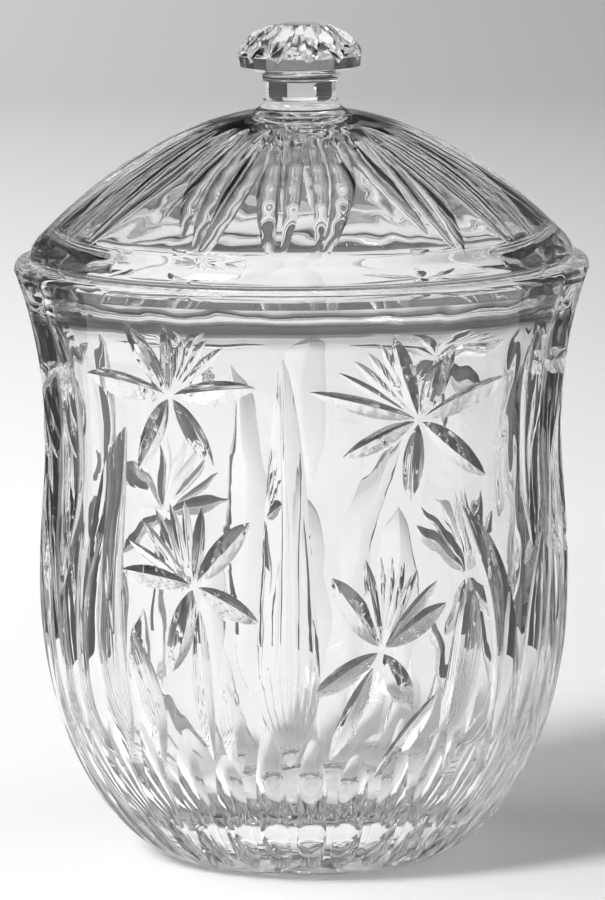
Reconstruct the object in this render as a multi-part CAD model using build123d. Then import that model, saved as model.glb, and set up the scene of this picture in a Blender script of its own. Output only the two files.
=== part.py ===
from build123d import *
import math
import os

# A pressed crystal biscuit jar: a footed, waisted jar with cut flowers, tall spires and
# leaf blades, and a domed lid whose knob is pressed in one piece with it.
# Millimetres, +Z up, origin on the axis at the underside of the foot, front face to -Y.
# Azimuth is in degrees round the axis: 0 at the front, growing towards +X.

# ---- driving dimensions: jar ----
foot_radius = 35.0            # flat ring that the jar stands on
foot_ring_width = 8.0         # width of that ring, round a shallow hollow
foot_hollow_depth = 1.2
belly_radius = 73.0
belly_height = 80.0
waist_radius = 71.3
waist_rise = 37.0             # from the belly's widest ring up to the waist
rim_height = 165.6
rim_width = 9.0               # glass between the mouth and the rim's outer edge
rim_edge_round = 2.4
wall = 5.6
floor_thickness = 11.0
floor_flat_radius = 12.0      # plain disc in the middle of the floor inside
mouth_radius = 70.0
mouth_depth = 7.0
mouth_edge_round = 1.0

# ---- driving dimensions: lid ----
ledge_width = 4.3             # rim left bare outside the lid
lid_edge_height = 7.0         # height of the steeper band round the dome's foot
lid_edge_inset = 3.4          # how far that band leans in over its height
lid_edge_bow = 0.5            # how far the band bows out between its two ends
lid_edge_upright = 1.8        # height of the upright strip under the band
lid_edge_round = 1.2
dome_rise = 34.7              # from the edge band to the top of the dome
dome_thickness = 5.0
seat_clearance = 1.0          # radial play of the locating ring in the mouth
ring_width = 3.0
ring_depth = 4.0
ring_taper = 0.6              # how far the ring leans in over its depth
ring_shoulder = 6.0           # glass between the ring's inside and the dome above it
ring_rounding = 1.6           # width of the rounding between the ring and the hollow
neck_radius = 10.4
neck_flat_depth = 0.8         # depth of the flats into the round neck
neck_sides = 8
neck_foot_rise = 2.0          # height of the neck's foot above the dome's top
neck_flare = 5.7              # how far the neck's foot spreads onto the dome
throat_drop = 4.0             # from the knob's widest ring down to the neck
knob_overhang = 6.6           # how far the knob stands out over its neck
knob_underside = 11.2         # height of the knob's widest ring above the dome's top
knob_rise = 11.4              # from the widest ring to the knob's crown
knob_lip = 2.4                # thickness of the knob's edge
knob_lip_taper = 0.4          # how far the edge leans in towards its underside
knob_shelf_width = 3.2        # flatter strip under the knob's edge
knob_shelf_drop = 1.1
knob_crown_radius = 4.0       # flat spot on the knob's crown
knob_flutes = 12
knob_flute_depth = 1.5
knob_flute_spread = 0.92      # width of a flute as a share of the pitch
knob_flute_gap = 1.0          # plain glass between the crown and a flute
knob_flute_runout = 0.6       # how far a flute runs out past the knob's edge
knob_flute_middle = 0.78      # where a flute is deepest, as a share of the knob's radius
knob_flute_lean = 0.75        # outward lean of a flute's deepest point

# ---- driving dimensions: cut pattern ----
drawn_height = 165.6          # wall height that the pattern's levels are drawn on
panel_pair_angle = 120.0      # one A panel and one B panel, repeated round the jar
cut_overrun = 1.6             # how far a cutter stands out of the glass
petal_start = 1.3             # petals begin this far from a flower's centre
fan_start = 5.0
fan_width = 2.1
fan_depth = 0.85
least_bow = 0.3               # least bow of a wheel cut below its own chord
clear = -0.3                  # depth of a groove's end, just clear of the glass
foot_flute_turn = 1.6         # azimuth of the first flute at the foot
foot_flute_pitch = 10.0
foot_flute_tops = (47.0, 41.0, 53.0)
foot_flute_course = ((32.0, 1.2), (17.0, 1.3), (8.0, 1.0))  # levels and depths down a flute
foot_flute_end = 2.6
foot_flute_radius = 7.0       # section radius of a foot flute
foot_flute_end_radius = 5.0

belly_power = 2.3             # roundness of the lower body
foot_power = 1.6
floor_power = 3.0             # the same for the hollow inside
floor_corner_power = 2.2
floor_crowding = 1.7          # how closely the hollow's points crowd to the floor
profile_steps = 12
flare_power = 2.2             # how late the wall flares out to the rim
dome_power = 2.05

drawn_dome_radius = 71.3      # dome radius that the lid's leaves are drawn on
leaf_round = 4.4              # section radius of the hollow leaves
leaf_lift = -0.12             # height of a leaf's point over the glass
knob_turn = 8.0               # azimuth of the first flute on the knob
neck_turn = 2.5               # turn of the neck's flats

# ---- places that follow from the sizes ----
waist_height = belly_height + waist_rise
rim_radius = mouth_radius + rim_width
rim_shoulder = rim_height - rim_edge_round
lid_radius = rim_radius - ledge_width
dome_radius = lid_radius - lid_edge_inset
dome_foot = rim_height + lid_edge_height
dome_top = dome_foot + dome_rise
neck_foot = dome_top + neck_foot_rise
neck_flare_radius = neck_radius + neck_flare
knob_radius = neck_radius + knob_overhang
knob_ring = dome_top + knob_underside
knob_edge_top = knob_ring + knob_lip
knob_crown = knob_ring + knob_rise
throat_height = knob_ring - throat_drop


def wall_radius(z):
    """Outer radius of the jar at height z."""
    if z <= belly_height:
        share = 1.0 - max(0.0, 1.0 - z / belly_height) ** belly_power
        return foot_radius + (belly_radius - foot_radius) * max(0.0, share) ** (1.0 / foot_power)
    if z <= waist_height:
        turn = math.pi * (z - belly_height) / (waist_height - belly_height)
        return waist_radius + (belly_radius - waist_radius) * (1.0 + math.cos(turn)) / 2.0
    share = (z - waist_height) / (rim_shoulder - waist_height)
    return waist_radius + (rim_radius - waist_radius) * share ** flare_power


def dome_height(r):
    """Outer height of the lid's dome at radius r."""
    return dome_top - dome_rise * (r / dome_radius) ** dome_power


def level(z):
    """Height on the wall of a level that is drawn in the pattern."""
    return z * rim_height / drawn_height


def round_the_axis(azimuth, r, z):
    """Point at an azimuth, radius and height."""
    angle = math.radians(azimuth)
    return Vector(r * math.sin(angle), -r * math.cos(angle), z)


def on_wall(azimuth, z):
    """Point and outward normal of the jar's wall."""
    step = 0.05
    slope = (wall_radius(z + step) - wall_radius(max(z - step, 0.0))) / (step + min(z, step))
    out = round_the_axis(azimuth, 1.0, 0.0)
    return round_the_axis(azimuth, wall_radius(z), z), (out - Vector(0, 0, slope)).normalized()


def dome_slope(r):
    """Rise of the dome for each millimetre outwards at radius r."""
    return -dome_rise * dome_power * (r / dome_radius) ** (dome_power - 1.0) / dome_radius


def on_dome(azimuth, r):
    """Point and outward normal of the lid's dome."""
    slope = dome_slope(r)
    out = round_the_axis(azimuth, 1.0, 0.0)
    return round_the_axis(azimuth, r, dome_height(r)), (Vector(0, 0, 1) - out * slope).normalized()


# ---- cutters ----
def wheel_cut(start, end, middle, normal, width, depth):
    """Lens-shaped cut of a mitre wheel: pointed at both ends, deepest in its middle."""
    along = (end - start)
    length = along.length
    along = along.normalized()
    chord_middle = (start + end) * 0.5
    bulge = (middle - chord_middle).dot(normal)
    bow = max(depth - bulge, least_bow)
    depth = bow + bulge
    wheel = (length ** 2 / 4.0 + bow ** 2) / (2.0 * bow)
    across = along.cross(normal).normalized()
    upright = across.cross(along).normalized()
    centre = chord_middle + upright * (wheel - bow)
    height = depth + cut_overrun
    half_width = width / 2.0 * height / depth
    keel = centre - upright * wheel
    corner = keel + upright * height
    turn = math.degrees(math.asin(min(1.0, length / 2.0 / wheel)))
    turn += math.degrees(cut_overrun / wheel)
    axis = Axis(centre, across)
    outline = Polyline(keel, corner + across * half_width, corner - across * half_width, close=True)
    blade = make_face(outline).rotate(axis, -turn)
    return revolve(blade, axis, 2.0 * turn)


def wall_cut(start, end, width, depth):
    """Wheel cut between two (azimuth, level) places on the wall."""
    (a0, z0), (a1, z1) = start, end
    first, _ = on_wall(a0, level(z0))
    last, _ = on_wall(a1, level(z1))
    middle, normal = on_wall((a0 + a1) / 2.0, level((z0 + z1) / 2.0))
    return wheel_cut(first, last, middle, normal, width, depth)


def from_centre(centre, tip, distance):
    """Place on the line from a flower's centre to a petal's tip, a distance along it."""
    (a0, z0), (a1, z1) = centre, tip
    run = math.hypot(math.radians(a1 - a0) * belly_radius, z1 - z0)
    share = distance / run
    return a0 + (a1 - a0) * share, z0 + (z1 - z0) * share


def flower(centre, petals, fan):
    """Cutters of one flower: petals (azimuth, level, width, depth) and a fan of fine cuts."""
    cuts = []
    for azimuth, z, width, depth in petals:
        tip = (azimuth, z)
        cuts.append(wall_cut(from_centre(centre, tip, petal_start), tip, width, depth))
    for tip in fan:
        cuts.append(wall_cut(from_centre(centre, tip, fan_start), tip, fan_width, fan_depth))
    return cuts


def groove(stations, surface, rounded, lean=0.0):
    """Long cut through stations (azimuth, place, depth, spread) on a surface.

    A sharp groove opens by its spread for each unit of depth, and the lean of one that runs
    downwards moves its opening to growing azimuths. A rounded one has a section of its
    spread's radius. A depth below zero lifts the cut clear of the glass.
    """
    places = [surface(azimuth, place) for azimuth, place, _, _ in stations]
    sections = []
    for k, (_, _, depth, spread) in enumerate(stations):
        point, normal = places[k]
        before = places[max(k - 1, 0)][0]
        after = places[min(k + 1, len(places) - 1)][0]
        along = (after - before).normalized()
        across = along.cross(normal).normalized()
        reach = depth + cut_overrun
        bottom = point - normal * depth
        top = point + normal * cut_overrun
        if rounded:
            half = math.sqrt(2.0 * spread * reach - reach ** 2)
            curve = ThreePointArc(top - across * half, bottom, top + across * half)
            sections.append(make_face([curve, Line(top + across * half, top - across * half)]))
        else:
            wide, narrow = (spread + lean) * reach, (spread - lean) * reach
            outline = Polyline(top - across * wide, bottom, top + across * narrow, close=True)
            sections.append(make_face(outline))
    return loft(sections)


def wall_groove(stations, rounded=False, lean=0.0):
    """Long cut through (azimuth, level, depth, spread) stations on the wall."""
    drawn = [(azimuth, level(z), depth, spread) for azimuth, z, depth, spread in stations]
    return groove(drawn, on_wall, rounded, lean)


# ---- the cut pattern of the jar ----
upper_flower_a = flower(
    (-29.2, 136.8),
    [(-38.5, 156.0, 5.6, 1.8), (-28.7, 156.4, 3.6, 1.5), (-9.8, 139.6, 5.4, 2.2),
     (-19.5, 118.3, 4.8, 1.7), (-38.3, 116.0, 5.6, 1.9), (-52.5, 140.3, 6.2, 2.4)],
    [(-25.0, 152.0), (-22.3, 153.0), (-19.5, 153.0), (-16.3, 150.5)])
lower_flower_a = flower(
    (-23.8, 86.0),
    [(-11.5, 103.4, 5.8, 2.0), (-22.2, 107.0, 3.2, 1.4), (-42.3, 88.3, 5.2, 2.3),
     (-29.4, 61.8, 6.6, 2.1), (-9.5, 76.4, 5.2, 1.9)],
    [(-26.4, 108.5), (-30.0, 107.5), (-33.6, 105.6), (-37.2, 102.4), (-40.6, 96.5)])
upper_flower_b = flower(
    (25.5, 130.0),
    [(18.7, 153.0, 5.2, 1.8), (32.7, 150.0, 6.6, 2.1), (49.2, 139.2, 5.2, 2.5),
     (43.5, 112.8, 5.6, 2.3), (23.3, 108.0, 5.4, 1.9), (8.4, 120.6, 4.6, 2.0),
     (1.4, 138.6, 4.2, 2.5)],
    [(7.4, 143.8), (10.4, 147.0), (13.2, 149.2), (16.0, 151.0)])
lower_flower_b = flower(
    (16.5, 68.6),
    [(5.8, 88.6, 6.4, 2.1), (13.0, 93.5, 3.2, 1.4), (29.3, 86.4, 3.4, 1.7),
     (31.5, 80.0, 5.2, 1.9), (23.8, 51.2, 6.2, 2.1), (1.6, 56.2, 5.2, 1.9)],
    [(16.4, 94.0), (19.0, 93.6), (21.7, 92.2), (24.6, 90.2)])

stems = [
    wall_groove([(-22.6, 82.0, clear, 1.6), (-22.4, 70.0, 1.0, 1.8), (-22.0, 50.0, 1.1, 1.8),
                 (-21.0, 34.0, clear, 1.8)]),
    wall_cut((14.6, 64.0), (5.4, 38.0), 4.6, 1.9),
    wall_cut((30.0, 55.6), (16.2, 32.5), 5.0, 2.2),
]
spires = [
    wall_groove([(-4.2, 152.0, clear, 3.0), (-3.9, 138.0, 0.6, 3.0), (-3.6, 112.0, 1.5, 3.0),
                 (-3.5, 84.0, 2.1, 3.1), (-3.5, 56.0, 2.2, 3.4), (-3.5, 34.0, clear, 3.4)]),
    wall_groove([(57.0, 154.0, clear, 3.0), (58.4, 142.0, 1.2, 3.0), (59.4, 126.0, 1.6, 3.0),
                 (59.6, 106.0, 1.6, 2.8), (58.6, 88.0, clear, 2.8)]),
]
blades = [
    wall_groove([(-41.0, 129.5, clear, 2.6), (-43.6, 113.0, 1.5, 2.8), (-45.8, 86.0, 2.3, 3.4),
                 (-46.6, 64.0, 2.5, 3.7), (-46.8, 44.0, 2.2, 3.8), (-47.0, 28.0, clear, 3.0)],
                lean=-2.0),
    wall_groove([(35.0, 108.0, clear, 2.0), (40.4, 95.0, 1.3, 2.3), (45.4, 79.0, 1.8, 2.4),
                 (48.2, 58.0, 2.0, 2.5), (48.8, 42.0, 1.7, 2.5), (48.8, 28.0, clear, 2.2)],
                lean=0.7),
    wall_groove([(37.4, 87.5, clear, 2.2), (36.8, 76.0, 1.6, 2.2), (35.6, 60.0, 2.2, 2.3),
                 (34.8, 46.0, 2.0, 2.3), (34.6, 29.0, clear, 2.2)],
                lean=0.5),
    wall_groove([(-40.0, 74.0, clear, 2.4), (-37.4, 62.0, 1.4, 2.4), (-35.8, 48.0, 1.7, 2.4),
                 (-35.4, 30.0, clear, 2.4)]),
    wall_groove([(-17.2, 62.0, clear, 2.2), (-16.2, 51.0, 1.2, 2.2), (-15.8, 42.0, 1.2, 2.2),
                 (-15.6, 30.0, clear, 2.2)]),
    wall_groove([(64.6, 100.0, clear, 2.4), (60.4, 78.0, 1.5, 2.6), (58.6, 58.0, 1.7, 2.6),
                 (58.6, 42.0, 1.4, 2.6), (58.8, 30.0, clear, 2.4)]),
]
foot_flutes = []
for k in range(round(panel_pair_angle / foot_flute_pitch)):
    turn = foot_flute_turn + k * foot_flute_pitch
    flute_top = foot_flute_tops[k % len(foot_flute_tops)]
    foot_flutes.append(wall_groove(
        [(turn, flute_top, clear, foot_flute_end_radius)]
        + [(turn, z, depth, foot_flute_radius) for z, depth in foot_flute_course]
        + [(turn, foot_flute_end, clear, foot_flute_end_radius)], rounded=True))

pattern = (upper_flower_a + lower_flower_a + upper_flower_b + lower_flower_b
           + stems + spires + blades + foot_flutes)


# ---- jar ----
def corner_arc(start, corner, end):
    """Arc from start to end, rounding off the corner between them."""
    start, corner, end = Vector(*start), Vector(*corner), Vector(*end)
    centre = start + end - corner
    return ThreePointArc(start, centre + (corner - centre) * math.cos(math.pi / 4.0), end)


def bowed_line(start, end, bow):
    """Arc from start to end that bows out to its left."""
    start, end = Vector(*start), Vector(*end)
    run = end - start
    left = Vector(-run.Y, run.X).normalized()
    return ThreePointArc(start, (start + end) * 0.5 + left * bow, end)


def jar_outside():
    """Spline of the jar's outer wall, from the foot to the rim's shoulder."""
    points = []
    for k in range(profile_steps + 1):
        z = belly_height * (k / profile_steps) ** 2
        points.append((wall_radius(z), z))
    for k in range(1, profile_steps + 1):
        z = belly_height + (rim_shoulder - belly_height) * k / profile_steps
        points.append((wall_radius(z), z))
    return Spline(*points)


def jar_inside(throat):
    """Spline of the jar's inner wall, from the foot of the mouth down to the floor's disc."""
    points = [(mouth_radius, throat)]
    for k in range(1, profile_steps):
        z = throat + (belly_height - throat) * k / profile_steps
        points.append((wall_radius(z) - wall, z))
    inner_belly = belly_radius - wall
    for k in range(profile_steps, 0, -1):
        share = (k / profile_steps) ** floor_crowding
        swell = (1.0 - (1.0 - share) ** floor_power) ** (1.0 / floor_corner_power)
        r = floor_flat_radius + (inner_belly - floor_flat_radius) * swell
        points.append((r, floor_thickness + (belly_height - floor_thickness) * share))
    points.append((floor_flat_radius, floor_thickness))
    return Spline(*points, tangents=[(0.0, -1.0), (-1.0, 0.0)])


def jar_blank():
    """The jar before cutting, turned from its section."""
    throat = rim_height - mouth_depth
    ledge_outside = rim_radius - rim_edge_round / 2.0
    ledge_inside = mouth_radius + mouth_edge_round
    mouth_edge = rim_height - mouth_edge_round
    foot_hollow_radius = foot_radius - foot_ring_width
    section = make_face([
        jar_outside(),
        corner_arc((rim_radius, rim_shoulder), (rim_radius, rim_height),
                   (ledge_outside, rim_height)),
        Line((ledge_outside, rim_height), (ledge_inside, rim_height)),
        corner_arc((ledge_inside, rim_height), (mouth_radius, rim_height),
                   (mouth_radius, mouth_edge)),
        Line((mouth_radius, mouth_edge), (mouth_radius, throat)),
        jar_inside(throat),
        Polyline((floor_flat_radius, floor_thickness), (0.0, floor_thickness),
                 (0.0, foot_hollow_depth), (foot_hollow_radius, foot_hollow_depth),
                 (foot_hollow_radius + foot_hollow_depth, 0.0), (foot_radius, 0.0)),
    ])
    return revolve(Plane.XZ * section, Axis.Z, 360.0)


# ---- the cut pattern of the lid ----
def dome_leaf(stations):
    """Hollow leaf on the dome through (azimuth, radius, width) stations, pointed at its ends."""
    drawn = []
    for azimuth, r, width in stations:
        depth = leaf_round - math.sqrt(leaf_round ** 2 - width ** 2 / 4.0)
        drawn.append((azimuth, r * dome_radius / drawn_dome_radius, depth or leaf_lift, leaf_round))
    return groove(drawn, on_dome, rounded=True)


tulip = [
    [(-17.0, 24.0, 0.0), (-12.0, 35.0, 6.2), (-10.4, 46.0, 6.9), (-8.9, 58.0, 5.9),
     (-6.6, 71.5, 0.0)],
    [(-3.4, 25.0, 0.0), (-2.4, 35.0, 4.2), (-2.3, 46.0, 5.0), (-2.8, 58.0, 4.2), (-4.4, 72.0, 0.0)],
    [(4.6, 25.0, 0.0), (6.0, 35.0, 4.0), (6.2, 46.0, 4.6), (5.2, 58.0, 3.8), (2.8, 72.0, 0.0)],
    [(17.0, 24.0, 0.0), (14.2, 35.0, 5.8), (14.0, 46.0, 7.0), (10.2, 58.0, 5.4), (3.9, 72.0, 0.0)],
]
bud = [
    [(25.6, 24.0, 0.0), (25.2, 35.0, 6.2), (25.6, 45.0, 7.2), (28.0, 56.0, 5.2), (31.6, 66.5, 0.0)],
    [(34.0, 26.0, 0.0), (33.2, 36.0, 3.0), (32.9, 46.0, 4.2), (33.9, 58.0, 4.6), (36.2, 71.5, 0.0)],
    [(42.6, 24.0, 0.0), (41.4, 35.0, 6.8), (41.4, 46.0, 7.8), (39.8, 58.0, 6.4), (37.2, 72.5, 0.0)],
]
leaf_pair_angle = 60.0


def knob_height(r):
    """Height of the knob's upper surface at radius r."""
    share = (r - knob_crown_radius) / (knob_radius - knob_crown_radius)
    return knob_edge_top + (knob_crown - knob_edge_top) * math.sqrt(max(0.0, 1.0 - share ** 2))


def knob_flute(azimuth):
    """Wheel cut down one side of the knob, running out over its edge."""
    inner_end = knob_crown_radius + knob_flute_gap
    start = round_the_axis(azimuth, inner_end, knob_height(inner_end))
    end = round_the_axis(azimuth, knob_radius + knob_flute_runout, knob_ring + knob_lip / 2.0)
    middle_radius = knob_radius * knob_flute_middle
    middle = round_the_axis(azimuth, middle_radius, knob_height(middle_radius))
    normal = (round_the_axis(azimuth, knob_flute_lean, 0.0) + Vector(0, 0, 1)).normalized()
    pitch = 2.0 * math.pi * middle_radius / knob_flutes
    return wheel_cut(start, end, middle, normal, pitch * knob_flute_spread, knob_flute_depth)


# ---- lid ----
def lid_blank():
    """The lid and its knob before cutting, turned from their section."""
    ring_radius = mouth_radius - seat_clearance
    ring_inside = ring_radius - ring_width
    ring_foot = rim_height - ring_depth
    shoulder_height = dome_height(ring_inside) - ring_shoulder
    inside_radius = ring_inside - ring_rounding
    band_foot = rim_height + lid_edge_upright
    outer = [(r, dome_height(r)) for r in
             (neck_flare_radius + (dome_radius - neck_flare_radius) * k / profile_steps
              for k in range(profile_steps + 1))]
    inner = [(r, dome_height(r) - dome_thickness) for r in
             (inside_radius * (1.0 - k / profile_steps) for k in range(profile_steps + 1))]
    shelf = (knob_radius - knob_lip_taper - knob_shelf_width, knob_ring - knob_shelf_drop)
    section = make_face([
        Line((0.0, knob_crown), (knob_crown_radius, knob_crown)),
        EllipticalCenterArc((knob_crown_radius, knob_edge_top), knob_radius - knob_crown_radius,
                            knob_crown - knob_edge_top, start_angle=0.0, arc_size=90.0),
        Line((knob_radius, knob_edge_top), (knob_radius - knob_lip_taper, knob_ring)),
        Spline((knob_radius - knob_lip_taper, knob_ring), shelf, (neck_radius, throat_height),
               tangents=[(-1.0, 0.0), (0.0, -1.0)]),
        Line((neck_radius, throat_height), (neck_radius, neck_foot)),
        corner_arc((neck_radius, neck_foot), (neck_radius, dome_height(neck_flare_radius)),
                   (neck_flare_radius, dome_height(neck_flare_radius))),
        Spline(*outer),
        bowed_line((dome_radius, dome_foot), (lid_radius, band_foot), lid_edge_bow),
        Line((lid_radius, band_foot), (lid_radius, rim_height + lid_edge_round)),
        corner_arc((lid_radius, rim_height + lid_edge_round), (lid_radius, rim_height),
                   (lid_radius - lid_edge_round, rim_height)),
        Polyline((lid_radius - lid_edge_round, rim_height), (ring_radius, rim_height),
                 (ring_radius - ring_taper, ring_foot), (ring_inside, ring_foot),
                 (ring_inside, shoulder_height)),
        Spline((ring_inside, shoulder_height), inner[0],
               tangents=[(0.0, 1.0), (-1.0, -dome_slope(inside_radius))]),
        Spline(*inner, tangents=[(-1.0, -dome_slope(inside_radius)), (-1.0, 0.0)]),
        Line((0.0, dome_top - dome_thickness), (0.0, knob_crown)),
    ])
    return revolve(Plane.XZ * section, Axis.Z, 360.0)


def neck_flats():
    """Block round the neck with the flat-sided neck left out of it."""
    height = throat_height - neck_foot
    outside = Pos(0, 0, neck_foot) * Cylinder(neck_radius + cut_overrun, height,
                                              align=(Align.CENTER, Align.CENTER, Align.MIN))
    sides = RegularPolygon(neck_radius - neck_flat_depth, neck_sides, major_radius=False,
                           rotation=neck_turn)
    return outside - Pos(0, 0, neck_foot) * extrude(sides, height)


def around(cuts, pitch, total=360.0):
    """Copies of a set of cutters, turned round the axis at a pitch."""
    return [cut.rotate(Axis.Z, pitch * k) for k in range(round(total / pitch)) for cut in cuts]


def make_jar():
    """The cut jar."""
    return jar_blank() - around(pattern, panel_pair_angle)


def make_lid():
    """The cut lid with its knob."""
    leaves = [dome_leaf(stations) for stations in tulip + bud]
    flutes = [knob_flute(knob_turn)]
    cuts = around(leaves, leaf_pair_angle) + around(flutes, 360.0 / knob_flutes)
    return lid_blank() - cuts - neck_flats()


if __name__ == "__main__":
    os.makedirs("parts", exist_ok=True)
    export_step(make_lid(), "parts/lid.step")
    export_step(make_jar(), "parts/jar.step")
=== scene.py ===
import logging
import math
from dataclasses import dataclass, field, replace
from enum import Enum

import bmesh
import bpy
from mathutils import Matrix, Vector

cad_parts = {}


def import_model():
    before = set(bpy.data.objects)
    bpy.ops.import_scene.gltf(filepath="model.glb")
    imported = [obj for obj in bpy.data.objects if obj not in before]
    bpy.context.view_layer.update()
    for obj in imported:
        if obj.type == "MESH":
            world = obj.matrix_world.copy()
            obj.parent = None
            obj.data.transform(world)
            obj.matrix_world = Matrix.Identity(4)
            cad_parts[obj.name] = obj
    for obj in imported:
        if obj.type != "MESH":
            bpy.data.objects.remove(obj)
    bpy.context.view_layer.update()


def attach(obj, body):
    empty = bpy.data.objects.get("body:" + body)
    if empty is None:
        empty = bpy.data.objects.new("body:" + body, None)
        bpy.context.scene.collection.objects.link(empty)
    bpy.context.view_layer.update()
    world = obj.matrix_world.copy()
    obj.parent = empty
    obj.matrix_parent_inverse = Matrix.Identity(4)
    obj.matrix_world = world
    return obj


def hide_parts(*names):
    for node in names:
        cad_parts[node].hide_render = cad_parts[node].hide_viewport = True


# Looks of a pressed crystal biscuit jar: a waisted, footed jar with cut flowers, spires and
# leaf blades, and a domed lid with hollow leaves and a fluted knob, on a pale studio table.
# Shapes are worked out in millimetres and written in metres. +Z is up, the front faces -Y,
# and azimuth is in degrees round the axis: 0 at the front, growing towards +X.

LOG = logging.getLogger("biscuit_jar")
MILLIMETRE = 0.001
GLASS_BOUNCES = 64
DIFFUSE_BOUNCES = 3


class Section(Enum):
    """Cross section of a long cut."""

    SHARP = "sharp"
    HOLLOW = "hollow"


def round_the_axis(azimuth: float, radius: float, height: float) -> Vector:
    """Gives the point at an azimuth in degrees, a radius and a height.

    Args:
        azimuth: Degrees round the axis, 0 at the front.
        radius: Distance from the axis.
        height: Height over the table.

    Returns:
        The point.
    """
    angle = math.radians(azimuth)
    return Vector((radius * math.sin(angle), -radius * math.cos(angle), height))


def smooth_between(a: float, b: float, c: float, d: float, share: float) -> float:
    """Gives a value between b and c on a smooth line through four values.

    Args:
        a: Value before b.
        b: Value at the share 0.
        c: Value at the share 1.
        d: Value after c.
        share: How far the value is on its way from b to c.

    Returns:
        The value.
    """
    bend = 2 * a - 5 * b + 4 * c - d + share * (3 * b - 3 * c + d - a)
    return b + 0.5 * share * (c - a + share * bend)


def into_scene(name: str, shape: bmesh.types.BMesh) -> bpy.types.Object:
    """Puts a shape into the scene as an object of its own.

    Args:
        name: Name of the object and of its mesh.
        shape: The shape, which is freed.

    Returns:
        The object.
    """
    mesh = bpy.data.meshes.new(name)
    shape.to_mesh(mesh)
    shape.free()
    piece = bpy.data.objects.new(name, mesh)
    bpy.context.scene.collection.objects.link(piece)
    return piece


# ---- turned surfaces that carry the cuts ----
@dataclass(frozen=True)
class JarWall:
    """Outer wall of the jar, in millimetres."""

    foot_radius: float = 35.0
    belly_radius: float = 73.0
    belly_height: float = 80.0
    waist_radius: float = 71.3
    waist_height: float = 117.0
    rim_radius: float = 79.0
    rim_height: float = 165.6
    shoulder_height: float = 163.2
    belly_power: float = 2.3
    foot_power: float = 1.6
    flare_power: float = 2.2

    def radius(self, height: float) -> float:
        """Gives the wall's outer radius at a height.

        Args:
            height: Height over the table.

        Returns:
            The radius.
        """
        if height <= self.belly_height:
            share = 1.0 - max(0.0, 1.0 - height / self.belly_height) ** self.belly_power
            swell = max(0.0, share) ** (1.0 / self.foot_power)
            return self.foot_radius + (self.belly_radius - self.foot_radius) * swell
        if height <= self.waist_height:
            turn = math.pi * (height - self.belly_height) / (self.waist_height - self.belly_height)
            fall = (1.0 + math.cos(turn)) / 2.0
            return self.waist_radius + (self.belly_radius - self.waist_radius) * fall
        share = (height - self.waist_height) / (self.shoulder_height - self.waist_height)
        return self.waist_radius + (self.rim_radius - self.waist_radius) * share ** self.flare_power

    def place(self, azimuth: float, height: float) -> tuple[Vector, Vector]:
        """Gives a point on the wall and the wall's outward normal there.

        Args:
            azimuth: Degrees round the axis.
            height: Height over the table.

        Returns:
            The point and the normal.
        """
        step = 0.05
        rise = self.radius(height + step) - self.radius(max(height - step, 0.0))
        slope = rise / (step + min(height, step))
        out = round_the_axis(azimuth, 1.0, 0.0)
        normal = (out - Vector((0.0, 0.0, slope))).normalized()
        return round_the_axis(azimuth, self.radius(height), height), normal


@dataclass(frozen=True)
class LidDome:
    """Outer surface of the lid's dome, in millimetres."""

    radius: float = 71.3
    foot: float = 172.6
    rise: float = 34.7
    power: float = 2.05

    @property
    def top(self) -> float:
        """Height of the dome's top on the axis."""
        return self.foot + self.rise

    def height(self, radius: float) -> float:
        """Gives the dome's height at a radius.

        Args:
            radius: Distance from the axis.

        Returns:
            The height over the table.
        """
        return self.top - self.rise * (radius / self.radius) ** self.power

    def place(self, azimuth: float, radius: float) -> tuple[Vector, Vector]:
        """Gives a point on the dome and the dome's outward normal there.

        Args:
            azimuth: Degrees round the axis.
            radius: Distance from the axis.

        Returns:
            The point and the normal.
        """
        slope = -self.rise * self.power * (radius / self.radius) ** (self.power - 1.0) / self.radius
        out = round_the_axis(azimuth, 1.0, 0.0)
        normal = (Vector((0.0, 0.0, 1.0)) - out * slope).normalized()
        return round_the_axis(azimuth, radius, self.height(radius)), normal


Surface = JarWall | LidDome


# ---- cuts ----
@dataclass(frozen=True)
class Facet:
    """How a mitre's two sides are ground: hollow, with faint ripples along them.

    The fine steps of a side reach a little past the glass's surface.
    """

    hollow: float = 0.05
    ripple: float = 0.014
    ripple_length: float = 1.1
    reach: float = 1.15
    steps: int = 12

    def section(self, half_width: float, height: float, depth: float) -> list[tuple[float, float]]:
        """Gives a mitre's section as (across, above the keel).

        Args:
            half_width: Half of the opening at the top.
            height: Height from the keel to the opening.
            depth: Height from the keel to the glass's surface.

        Returns:
            The points in order from the keel up one side and down the other.
        """
        length = math.hypot(half_width, height)
        side = []
        for k in range(1, self.steps + 2):
            t = 1.0
            if k <= self.steps:
                t = min(1.0, self.reach * depth / height * k / self.steps)
            swell = 4.0 * self.hollow * t * (1.0 - t)
            swell += self.ripple / length * math.sin(2.0 * math.pi * t * length / self.ripple_length)
            side.append((half_width * t + height * swell, height * t - half_width * swell))
        return [(0.0, 0.0)] + side + [(-x, y) for x, y in reversed(side)]


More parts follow.
